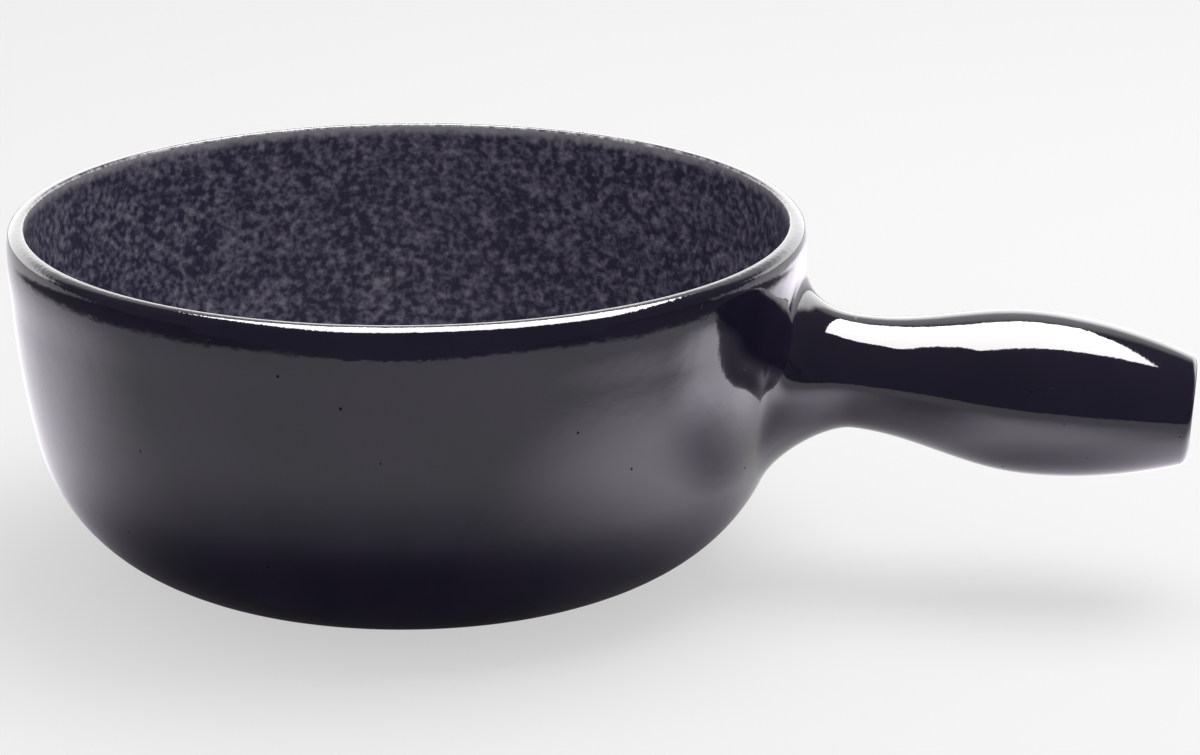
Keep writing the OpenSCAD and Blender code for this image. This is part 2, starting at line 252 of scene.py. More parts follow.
class PotShape:
    """Outlines of the pot, worked out from its sizes as in the part's source."""

    def __init__(self, sizes):
        self.sizes = sizes
        self.wall_r = sizes.rim_d / 2 - sizes.bead_step
        self.inner_r = self.wall_r - sizes.wall_t
        self.crest_r = self.inner_r + sizes.lip_round
        self.lip_z = sizes.pot_h - sizes.lip_round
        self.bead_z = sizes.pot_h - sizes.bead_h
        self.shape_rim(sizes)
        self.belly_z = self.rim_line - sizes.upright_h
        self.belly = Vector((self.wall_r - sizes.belly_arc_r, self.belly_z))
        self.turn = self.corner_turn(sizes.belly_arc_r, sizes.foot_h, sizes.corner_r)
        self.corner = self.corner_centre(self.wall_r, sizes.belly_arc_r, sizes.foot_h, sizes.corner_r)
        self.lay_handle(sizes)

    def shape_rim(self, sizes):
        """The rim's crown, shoulder and face, and the height where the bead's underside meets the wall."""
        turn = sizes.crown_turn
        lean = math.tan(sizes.face_lean / 2)
        shoulder_w = sizes.shoulder_r * (math.cos(sizes.face_lean) - math.sin(turn))
        shoulder_h = sizes.shoulder_r * (math.cos(turn) - math.sin(sizes.face_lean))
        outer_w = sizes.rim_d / 2 - self.crest_r - sizes.crest_w - shoulder_w
        face_h = sizes.bead_h - shoulder_h
        crown_r = (outer_w - lean * face_h) / (math.sin(turn) - lean * (1 - math.cos(turn)))
        self.crown_r = crown_r
        self.face_r = (face_h - crown_r * (1 - math.cos(turn))) / math.sin(sizes.face_lean)
        slope = sizes.bead_slope
        under_w = sizes.bead_step - sizes.bead_round * (1 - math.cos(slope))
        self.rim_line = self.bead_z - sizes.bead_round * math.sin(slope) - under_w / math.tan(slope)

    def lay_handle(self, sizes):
        """The handle's axis and directions, and where its neck, grip and end lie along it."""
        slope = sizes.handle_tilt
        top_r = self.root_radius(0)
        self.wall_s = self.wall_r / math.cos(slope)
        self.neck_s = self.wall_s + sizes.neck_off
        self.grip_s = self.neck_s + sizes.grip_off
        self.end_s = self.grip_s + sizes.tail_len
        top_s = (self.wall_r - top_r * math.sin(slope)) / math.cos(slope)
        axis_z = self.rim_line - sizes.root_gap + top_s * math.sin(slope) - top_r * math.cos(slope)
        self.axis = Vector((0, 0, axis_z))
        self.along = Vector((math.cos(slope), 0, -math.sin(slope)))
        self.upward = Vector((math.sin(slope), 0, math.cos(slope)))
        self.sideways = Vector((0, 1, 0))
        self.tail_turn = math.atan(2 * (sizes.grip_r - sizes.tail_r) / sizes.tail_len)
        self.edge_s = self.end_s - sizes.end_round * (1 - math.sin(self.tail_turn))
        self.edge_r = self.grip_radius(self.edge_s) - sizes.end_round * math.cos(self.tail_turn)
        self.mouth_r = self.edge_r - sizes.lip_w

    def rim(self):
        """Radius and height of the rim, from where the bead is widest over the crest to the inner edge."""
        sizes = self.sizes
        out_r = sizes.rim_d / 2
        top = math.pi / 2
        crown_from = top - sizes.crown_turn
        crown_at = Vector((self.crest_r + sizes.crest_w, sizes.pot_h - self.crown_r))
        reach = self.crown_r - sizes.shoulder_r
        shoulder_at = crown_at + reach * Vector((math.cos(crown_from), math.sin(crown_from)))
        face = arc(Vector((out_r - self.face_r, self.bead_z)), self.face_r, 0, sizes.face_lean, 8)
        shoulder = arc(shoulder_at, sizes.shoulder_r, sizes.face_lean, crown_from, 6)
        crown = arc(crown_at, self.crown_r, crown_from, top, 14)
        lip = arc(Vector((self.crest_r, self.lip_z)), sizes.lip_round, top, math.pi, 9)
        return face + shoulder[1:] + crown[1:] + lip

    def corner_turn(self, arc_r, base_z, round_r):
        """Angle at which the corner's arc meets the belly's."""
        return math.asin((base_z + round_r - self.belly_z) / (arc_r - round_r))

    def corner_centre(self, r_max, arc_r, base_z, round_r):
        """Centre of the corner's arc, as radius and height."""
        turn = self.corner_turn(arc_r, base_z, round_r)
        arm = Vector((math.cos(turn), math.sin(turn)))
        return Vector((r_max - arc_r, self.belly_z)) + (arc_r - round_r) * arm

    def side(self, r_max, arc_r, base_z, round_r, corner_steps, belly_steps):
        """Radius and height from the flat of the base up to the upright wall."""
        turn = self.corner_turn(arc_r, base_z, round_r)
        centre = self.corner_centre(r_max, arc_r, base_z, round_r)
        corner = arc(centre, round_r, -math.pi / 2, turn, corner_steps)
        belly = arc(Vector((r_max - arc_r, self.belly_z)), arc_r, turn, 0, belly_steps)
        return corner + belly[1:]

    def skin_outline(self):
        """Radius and height of the dark skin, from its edge round the foot to the rim's inner edge."""
        sizes = self.sizes
        edge = sizes.glaze_t
        roll_at = Vector((self.corner.x + edge, sizes.foot_h + edge))
        roll = arc(roll_at, edge, math.pi, 1.5 * math.pi, 4)
        side = self.side(self.wall_r, sizes.belly_arc_r, sizes.foot_h, sizes.corner_r, 26, 20)
        flare_steps = 12
        low = self.rim_line - sizes.flare_h
        wall = [point for point in side[1:] if point.y < low - RING_GAP]
        for i in range(flare_steps + 1):
            z = low + sizes.flare_h * i / flare_steps
            wall.append(Vector((self.wall_radius(z) + self.flare(z), z)))
        return roll + wall + self.rim()

    def liner_outline(self):
        """Radius and height of the liner, from its edge at the rim down to the middle of the base."""
        sizes = self.sizes
        arc_r = sizes.belly_arc_r - sizes.wall_t
        side = self.side(self.inner_r, arc_r, sizes.base_t, sizes.corner_in_r, 24, 20)
        upright_h = self.lip_z - self.belly_z
        upright = [Vector((self.inner_r, self.lip_z - upright_h * i / 5)) for i in range(5)]
        flat_r = side[0].x
        flat = [Vector((flat_r * k, sizes.base_t)) for k in (0.85, 0.68, 0.5, 0.32, 0.16, 0.05)]
        return upright + side[::-1] + flat

    def wall_radius(self, z):
        """Outer radius of the wall at height z."""
        sizes = self.sizes
        if z >= self.belly_z:
            return self.wall_r
        if z - self.corner.y >= sizes.corner_r * math.sin(self.turn):
            return self.belly.x + math.sqrt(sizes.belly_arc_r ** 2 - (z - self.belly.y) ** 2)
        return self.corner.x + math.sqrt(sizes.corner_r ** 2 - (z - self.corner.y) ** 2)

    def flare(self, z):
        """How far the glaze stands out from the wall at height z, filling the hollow under the bead."""
        u = min(max((z - self.rim_line) / self.sizes.flare_h + 1, 0.0), 1.0)
        return self.sizes.bead_step * u * u * (3 - 2 * u)

    def grip_radius(self, s):
        """Radius of the handle at s along its axis."""
        sizes = self.sizes
        if s < self.grip_s:
            swell = (1 - math.cos(math.pi * (s - self.neck_s) / sizes.grip_off)) / 2
            return sizes.neck_r + (sizes.grip_r - sizes.neck_r) * swell
        return sizes.grip_r - (sizes.grip_r - sizes.tail_r) * ((s - self.grip_s) / sizes.tail_len) ** 2

    def from_below(self, low, top, t):
        """A value that goes from low, under the handle, to top, over it, at angle t from the top."""
        return low + (top - low) * (1 + math.cos(t)) / 2

    def root_radius(self, t):
        """How far from the handle's axis the root's edge lies on the wall."""
        sizes = self.sizes
        return self.from_below(sizes.neck_r + sizes.reach_bottom, sizes.neck_r + sizes.reach_top, t)

    def outward(self, t):
        """Direction away from the handle's axis, at angle t from the top."""
        return math.cos(t) * self.upward + math.sin(t) * self.sideways

    def at_axis(self, s, r, t):
        """The point s along the handle's axis and r out from it."""
        return self.axis + s * self.along + r * self.outward(t)

    def round_axis(self, point):
        """Distance from the handle's axis and angle from the top of a point."""
        arm = point - self.axis
        up = arm.dot(self.upward)
        out = arm.dot(self.sideways)
        return math.hypot(up, out), math.atan2(out, up)

    def on_wall(self, r, t):
        """The point on the wall that lies r out from the handle's axis."""
        s = self.wall_s
        for _ in range(8):
            point = self.at_axis(s, r, t)
            x = math.sqrt(self.wall_radius(point.z) ** 2 - point.y ** 2)
            s += (x - point.x) / self.along.x
        return Vector((x, point.y, point.z))

    def flared(self, point):
        """A point of the wall, moved out onto the glaze that fills the hollow under the bead."""
        return point + self.flare(point.z) * Vector((point.x, point.y, 0)).normalized()

    def fillet(self, t, u):
        """The hollow curve of the root at angle t, from the wall at u = 0 to the neck at u = 1."""
        sizes = self.sizes
        root_r = self.root_radius(t)
        start = self.on_wall(root_r, t)
        neck = self.at_axis(self.neck_s, sizes.neck_r, t)
        probe = 0.0005
        slope = (self.on_wall(root_r + probe, t) - self.on_wall(root_r - probe, t)).normalized()
        outward = self.outward(t)
        rise = (start - self.axis).dot(outward) - sizes.neck_r
        corner = start - slope * rise / slope.dot(outward)
        hug = self.from_below(sizes.hug_bottom, sizes.hug_top, t)
        near_wall = start + hug * (corner - start)
        near_neck = neck + hug * (corner - neck)
        v = 1 - u
        curve = v ** 3 * start + 3 * v * v * u * near_wall + 3 * v * u * u * near_neck + u ** 3 * neck
        return curve + v * v * (self.flared(start) - start)

    def handle_outline(self):
        """Length and radius of the handle's skin, from past the neck over the end's lip into its mouth."""
        sizes = self.sizes
        grip_steps = 38
        span = self.edge_s - self.neck_s
        grip = [self.neck_s + span * i / grip_steps for i in range(1, grip_steps)]
        outline = [Vector((s, self.grip_radius(s))) for s in grip]
        edge_at = Vector((self.end_s - sizes.end_round, self.edge_r))
        outline += arc(edge_at, sizes.end_round, math.pi / 2 - self.tail_turn, 0, 8)
        inside_r = self.mouth_r - sizes.skin_t - MOUTH_GAP
        lip_from = self.edge_r
        lip_to = inside_r + MOUTH_ROLL
        outline += [Vector((self.end_s, lip_from + (lip_to - lip_from) * i / 3)) for i in range(1, 4)]
        roll_s = self.end_s - MOUTH_ROLL
        outline += arc(Vector((roll_s, lip_to)), MOUTH_ROLL, 0, -math.pi / 2, 5)[1:]
        outline += [Vector((roll_s - MOUTH_STEP * i, inside_r)) for i in range(1, 4)]
        return outline


def arc(centre, r, start, end, steps):
    """Points on a round stretch of an outline."""
    turns = [start + (end - start) * i / steps for i in range(steps + 1)]
    return [centre + r * Vector((math.cos(turn), math.sin(turn))) for turn in turns]


def start_ring(name, point, steps):
    """A ring of edges round the pot's axis, open for editing."""
    bpy.ops.object.select_all(action="DESELECT")
    bpy.ops.mesh.primitive_circle_add(vertices=steps, radius=point.x, fill_type="NOTHING",
                                      location=(0, 0, point.y))
    piece = bpy.context.active_object
    piece.name = name
    piece.data.name = name
    bpy.ops.object.transform_apply(location=True, rotation=True, scale=True)
    bpy.ops.object.mode_set(mode="EDIT")
    bpy.ops.mesh.select_mode(type="VERT")
    bpy.ops.mesh.select_all(action="SELECT")
    return piece


def draw_rings(outline):
    """Draws the selected ring out along an outline of radius and height."""
    for here, there in zip(outline, outline[1:]):
        bpy.ops.mesh.extrude_region_move(TRANSFORM_OT_translate={"value": (0, 0, there.y - here.y)})
        k = there.x / here.x
        bpy.ops.transform.resize(value=(k, k, 1), center_override=(0, 0, there.y))


def draw_loop(piece, place):
    """Extrudes the selected loop of edges, and puts each of its new corners where place says."""
    bpy.ops.mesh.extrude_region_move(TRANSFORM_OT_translate={"value": (0, 0, 0)})
    mesh = bmesh.from_edit_mesh(piece.data)
    moved = [corner for corner in mesh.verts if corner.select]
    for corner in moved:
        corner.co = place(corner.co)
    bmesh.update_edit_mesh(piece.data)


def face_out(piece, way):
    """Turns all the faces one way: the face furthest along +Y looks along +Y if way is 1, back if -1."""
    bpy.ops.mesh.select_all(action="SELECT")
    bpy.ops.mesh.remove_doubles(threshold=0.000001)
    bpy.ops.mesh.normals_make_consistent(inside=False)
    mesh = bmesh.from_edit_mesh(piece.data)
    furthest = max(mesh.faces, key=lambda face: face.calc_center_median().y)
    if furthest.normal.y * way < 0:
        bpy.ops.mesh.flip_normals()


def ripple(piece, height):
    """Gives the surface slow waves, as a fired glaze has, all of them inside the plain outline."""
    mesh = bmesh.from_edit_mesh(piece.data)
    mesh.normal_update()
    crest = 1.5
    moves = []
    for corner in mesh.verts:
        wave = noise.noise(corner.co * SLOW_WAVES) + 0.5 * noise.noise(corner.co * QUICK_WAVES) - crest
        moves.append((corner, corner.normal * wave * height))
    for corner, move in moves:
        corner.co += move
    bmesh.update_edit_mesh(piece.data)


def give_thickness(piece, thickness):
    """Gives the skin its thickness, on the side away from its faces, and shades it smooth."""
    bpy.ops.object.mode_set(mode="OBJECT")
    bpy.ops.object.modifier_add(type="SOLIDIFY")
    coat = piece.modifiers[-1]
    coat.thickness = thickness
    coat.offset = -1
    bpy.ops.object.modifier_apply(modifier=coat.name)
    bpy.ops.object.shade_smooth_by_angle(angle=math.radians(50))


def new_material(name):
    """A material with an empty node tree, and the tree."""
    material = bpy.data.materials.new(name)
    material.use_nodes = True
    material.node_tree.nodes.clear()
    return material, material.node_tree


def feed(tree, socket, value):
    """Gives a socket a value or a link."""
    if isinstance(value, bpy.types.NodeSocket):
        tree.links.new(value, socket)
    else:
        socket.default_value = value


def add_node(tree, kind, settings=None, **inputs):
    """A node with settings on itself, and inputs named with _ for a space, or by number as in0, in1."""
    made = tree.nodes.new(kind)
    for key, value in (settings or {}).items():
        setattr(made, key, value)
    for key, value in inputs.items():
        if key.startswith("in") and key[2:].isdigit():
            socket = made.inputs[int(key[2:])]
        else:
            socket = made.inputs[key.replace("_", " ")]
        feed(tree, socket, value)
    return made


def ramp(tree, value, low, high, from_low=0.0, to_high=1.0):
    """A value that goes smoothly from one number to another as the input goes from low to high."""
    made = add_node(tree, "ShaderNodeMapRange", {"interpolation_type": "SMOOTHSTEP"}, Value=value,
                    From_Min=low, From_Max=high, To_Min=from_low, To_Max=to_high)
    return made.outputs["Result"]


def blend(tree, factor, first, second):
    """A colour that goes from first to second."""
    made = add_node(tree, "ShaderNodeMix", {"data_type": "RGBA"}, in0=factor, in6=first, in7=second)
    return made.outputs[2]


def calc(tree, operation, first, second):
    """A number worked out from two others."""
    return add_node(tree, "ShaderNodeMath", {"operation": operation}, in0=first, in1=second).outputs[0]


def rgba(values):
    """A colour with full alpha."""
    return (values[0], values[1], values[2], 1.0)


def grain(tree, place, per_metre, detail=2.0, roughness=0.5):
    """Cloudy noise with about so many clouds to the metre."""
    made = add_node(tree, "ShaderNodeTexNoise", Vector=place, Scale=per_metre, Detail=detail,
                    Roughness=roughness)
    return made.outputs["Fac"]


def pinholes(tree, place, per_metre, radius):
    """One inside the few small pits that gas leaves in a glaze, zero elsewhere."""
    cells = add_node(tree, "ShaderNodeTexVoronoi", Vector=place, Scale=per_metre)
    rim, floor = radius * per_metre, radius * per_metre * 0.55
    shaded_pit = ramp(tree, cells.outputs["Distance"], rim, floor)
    pick = add_node(tree, "ShaderNodeSeparateColor", Color=cells.outputs["Color"]).outputs[0]
    kept = calc(tree, "GREATER_THAN", pick, 0.5)
    return calc(tree, "MULTIPLY", shaded_pit, kept)


def dark_glaze_material(finishes, shape):
    """Glossy blue-black glaze with a wavy surface and a few pinholes darkened by painted shade, thin and
    frosty over the rim, where the frost is partly a painted highlight.
    """
    material, tree = new_material("dark_glaze")
    place = add_node(tree, "ShaderNodeTexCoord").outputs["Object"]
    z = add_node(tree, "ShaderNodeSeparateXYZ", Vector=place).outputs[2]
    on_rim = ramp(tree, z, shape.rim_line + FROST_Z[0], shape.rim_line + FROST_Z[1])
    flat = add_node(tree, "ShaderNodeVectorMath", {"operation": "MULTIPLY"}, in0=place, in1=(1.0, 1.0, 0.0))
    axis_r = add_node(tree, "ShaderNodeVectorMath", {"operation": "LENGTH"}, in0=flat.outputs[0])
    fray = calc(tree, "MULTIPLY", grain(tree, place, per_metre=420.0, detail=3.0), 0.0016)
    frayed_r = calc(tree, "ADD", axis_r.outputs["Value"], fray)
    inside = ramp(tree, frayed_r, shape.crest_r + FROST_R[0], shape.crest_r + FROST_R[1])
    inside = calc(tree, "MULTIPLY", inside, on_rim)
    shaded_pit = pinholes(tree, place, per_metre=120.0, radius=0.0005)
    pooled = ramp(tree, grain(tree, place, per_metre=45.0, detail=3.0), 0.35, 0.65)
    body = blend(tree, pooled, rgba(finishes.dark_deep), rgba(finishes.dark))
    # Frost over the rim's inner edge: partly the thinned glaze, partly a painted highlight
    speck = ramp(tree, grain(tree, place, per_metre=620.0, detail=2.0), 0.35, 0.6)
    frost_and_highlight = blend(tree, speck, rgba(finishes.frost_and_highlight), rgba(finishes.lip_frost_and_highlight))
    body = blend(tree, inside, body, frost_and_highlight)
    # Painted shade in the pinholes: a near-black colour
    body = blend(tree, shaded_pit, body, rgba(finishes.shaded_pit))
    gloss = finishes.dark_gloss
    rough = ramp(tree, grain(tree, place, per_metre=160.0, detail=4.0), 0.3, 0.75, gloss * 0.8, gloss * 1.3)
    rough = calc(tree, "MAXIMUM", rough, calc(tree, "MULTIPLY", inside, 0.45))
    rough = calc(tree, "MAXIMUM", rough, calc(tree, "MULTIPLY", shaded_pit, 0.6))
    # Painted shade: the pinholes' reflection is damped through the specular tint
    glint = blend(tree, shaded_pit, WHITE, (0.08, 0.08, 0.08, 1.0))
    waves = calc(tree, "MULTIPLY", grain(tree, place, per_metre=260.0, detail=3.0), 0.8)
    swell = grain(tree, place, per_metre=75.0, detail=1.0)
    height = calc(tree, "ADD", waves, swell)
    peel = calc(tree, "MULTIPLY", grain(tree, place, per_metre=700.0, detail=2.0), on_rim)
    height = calc(tree, "ADD", height, calc(tree, "MULTIPLY", peel, 0.9))
    height = calc(tree, "SUBTRACT", height, calc(tree, "MULTIPLY", shaded_pit, 1.3))
    bump = add_node(tree, "ShaderNodeBump", Strength=1.0, Distance=0.00005, Height=height)
    shader = add_node(tree, "ShaderNodeBsdfPrincipled", Base_Color=body, Roughness=rough, IOR=1.6,
                      Specular_Tint=glint, Normal=bump.outputs[0])
    add_node(tree, "ShaderNodeOutputMaterial", Surface=shader.outputs[0])
    return material


def liner_material(finishes, edge_z):
    """Satin granite glaze: grey and beige specks on a blue-black ground, frosty with a painted highlight
    along its ragged top edge, its reflection damped by painted shade towards its floor.
    """
    material, tree = new_material("granite_glaze")
    place = add_node(tree, "ShaderNodeTexCoord").outputs["Object"]
    drawn = add_node(tree, "ShaderNodeMapping", Vector=place, Scale=(1.0, 1.0, 1.1)).outputs[0]
    cloud = grain(tree, drawn, per_metre=420.0, detail=3.0, roughness=0.55)
    patch = grain(tree, drawn, per_metre=110.0, detail=2.0)
    lift = calc(tree, "ADD", cloud, calc(tree, "MULTIPLY", patch, 0.3))
    speck = ramp(tree, lift, 0.52, 0.84)
    pale = ramp(tree, lift, 0.74, 0.94)
    body = blend(tree, speck, rgba(finishes.liner_ground), rgba(finishes.liner_speck))
    body = blend(tree, pale, body, rgba(finishes.liner_pale))
    z = add_node(tree, "ShaderNodeSeparateXYZ", Vector=place).outputs[2]
    # Frost along the liner's ragged top edge: partly the thinned glaze, partly a painted highlight
    ragged = calc(tree, "MULTIPLY", grain(tree, place, per_metre=420.0, detail=3.0), 0.003)
    ragged_z = calc(tree, "ADD", z, ragged)
    edge = ramp(tree, ragged_z, edge_z + LINER_EDGE_Z[0], edge_z + LINER_EDGE_Z[1], 0.0, 0.85)
    body = blend(tree, edge, body, rgba(finishes.frost_and_highlight))
    gloss = finishes.liner_gloss
    rough = ramp(tree, grain(tree, place, per_metre=300.0, detail=3.0), 0.3, 0.7, gloss * 0.8, gloss * 1.2)
    pebbles = grain(tree, place, per_metre=240.0, detail=3.0)
    height = calc(tree, "ADD", pebbles, calc(tree, "MULTIPLY", speck, 0.4))
    bump = add_node(tree, "ShaderNodeBump", Strength=1.0, Distance=0.00006, Height=height)
    # Painted shade: the reflection is damped towards the liner's floor
    damped_reflection = ramp(tree, z, *LINER_DAMPED_Z)
    glint = blend(tree, damped_reflection, WHITE, (0.3, 0.3, 0.3, 1.0))
    shader = add_node(tree, "ShaderNodeBsdfPrincipled", Base_Color=body, Roughness=rough, IOR=1.5,
                      Specular_Tint=glint, Normal=bump.outputs[0])
    add_node(tree, "ShaderNodeOutputMaterial", Surface=shader.outputs[0])
    return material


def clay_material(name, plain, dark, sand_per_metre):
    """Matte fired clay with iron spots and a fine sandy grain."""
    material, tree = new_material(name)
    place = add_node(tree, "ShaderNodeTexCoord").outputs["Object"]
    cloud = ramp(tree, grain(tree, place, per_metre=40.0, detail=4.0), 0.35, 0.7, 0.0, 0.45)
    body = blend(tree, cloud, rgba(plain), rgba(dark))
    spots = add_node(tree, "ShaderNodeTexVoronoi", Vector=place, Scale=420.0)
    spot = ramp(tree, spots.outputs["Distance"], 0.22, 0.1)
    body = blend(tree, calc(tree, "MULTIPLY", spot, 0.7), body, rgba(dark))
    sand = grain(tree, place, per_metre=sand_per_metre, detail=4.0, roughness=0.6)
    rough = ramp(tree, sand, 0.3, 0.7, 0.78, 0.95)
    bump = add_node(tree, "ShaderNodeBump", Strength=0.7, Distance=0.00015, Height=sand)
    shader = add_node(tree, "ShaderNodeBsdfPrincipled", Base_Color=body, Roughness=rough, IOR=1.5,
                      Normal=bump.outputs[0])
    add_node(tree, "ShaderNodeOutputMaterial", Surface=shader.outputs[0])
    return material


def dress(piece, material):
    """Gives a piece its one material."""
    piece.data.materials.clear()
    piece.data.materials.append(material)


class FONDUE_POT_OT_dark_skin(bpy.types.Operator):
    """Model the dark glaze as one unbroken skin over the bowl, the rim, the root and the handle"""

    bl_idname = "fondue_pot.dark_skin"
    bl_label = "Dark Skin"

    def execute(self, context):
        sizes = context.scene.pot_sizes
        shape = PotShape(sizes)
        outline = shape.skin_outline()
        piece = start_ring("dark_skin", outline[0], sizes.steps)
        draw_rings(outline)
        self.open_wall(piece, shape, sizes.steps, outline)
        self.draw_handle(piece, shape)
        face_out(piece, 1)
        ripple(piece, sizes.wave)
        give_thickness(piece, sizes.skin_t)
        dress(piece, dark_glaze_material(context.scene.pot_finishes, shape))
        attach(piece, "root")
        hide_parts(*SKIN_NODES)
        return {"FINISHED"}

    def open_wall(self, piece, shape, steps, outline):
        """Takes a rectangle of wall out round the root, and selects the loop of edges round the opening."""
        reach = 2 * math.pi / steps * round(OPENING_HALF_ANGLE * steps / (2 * math.pi))
        low = min(point.y for point in outline if point.y > OPENING_LOW)
        high = shape.rim_line
        bpy.ops.mesh.select_mode(type="FACE")
        bpy.ops.mesh.select_all(action="DESELECT")
        mesh = bmesh.from_edit_mesh(piece.data)
        for face in mesh.faces:
            middle = face.calc_center_median()
            face.select = abs(math.atan2(middle.y, middle.x)) < reach and low < middle.z < high
        bmesh.update_edit_mesh(piece.data)
        bpy.ops.mesh.delete(type="FACE")
        bpy.ops.mesh.select_mode(type="EDGE")
        bpy.ops.mesh.select_all(action="DESELECT")
        mesh = bmesh.from_edit_mesh(piece.data)
        for edge in mesh.edges:
            middle = (edge.verts[0].co + edge.verts[1].co) / 2
            in_height = low - OPENING_SLACK < middle.z < high + OPENING_SLACK
            if edge.is_boundary and middle.x > 0 and in_height:
                edge.select = True
        bmesh.update_edit_mesh(piece.data)

    def draw_handle(self, piece, shape):
        """Draws the loop in over the wall, along the root's fillet, and along the handle into its mouth."""
        wall_steps = 5
        fillet_steps = 18
        for left in range(wall_steps, 0, -1):
            def over_wall(point):
                r, t = shape.round_axis(point)
                return shape.flared(shape.on_wall(r + (shape.root_radius(t) - r) / left, t))
            draw_loop(piece, over_wall)
        for i in range(1, fillet_steps + 1):
            draw_loop(piece, lambda point: shape.fillet(shape.round_axis(point)[1], i / fillet_steps))
        for s, r in shape.handle_outline():
            draw_loop(piece, lambda point: shape.at_axis(s, r, shape.round_axis(point)[1]))


class FONDUE_POT_OT_liner(bpy.types.Operator):
    """Model the speckled liner inside the bowl"""

    bl_idname = "fondue_pot.liner"
    bl_label = "Speckled Liner"

    def execute(self, context):
        sizes = context.scene.pot_sizes
        shape = PotShape(sizes)
        outline = shape.liner_outline()
        piece = start_ring("speckled_liner", outline[0], sizes.liner_steps)
        draw_rings(outline)
        bpy.ops.mesh.merge(type="CENTER")
        face_out(piece, -1)
        ripple(piece, sizes.wave)
        give_thickness(piece, sizes.skin_t)
        dress(piece, liner_material(context.scene.pot_finishes, shape.lip_z))
        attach(piece, "root")
        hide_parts(*LINER_NODES)
        return {"FINISHED"}


class FONDUE_POT_OT_clay(bpy.types.Operator):
    """Give the bare clay and the slip their fired finish"""

    bl_idname = "fondue_pot.clay"
    bl_label = "Bare Clay"

    def execute(self, context):
        finishes = context.scene.pot_finishes
        clay = clay_material("stoneware", finishes.clay, finishes.clay_dark, sand_per_metre=900.0)
        slip = clay_material("slip", finishes.slip, finishes.clay_dark, sand_per_metre=1400.0)
        for name in CLAY_NODES:
            dress(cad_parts[name], clay)
        for name in SLIP_NODES:
            dress(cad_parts[name], slip)
        return {"FINISHED"}


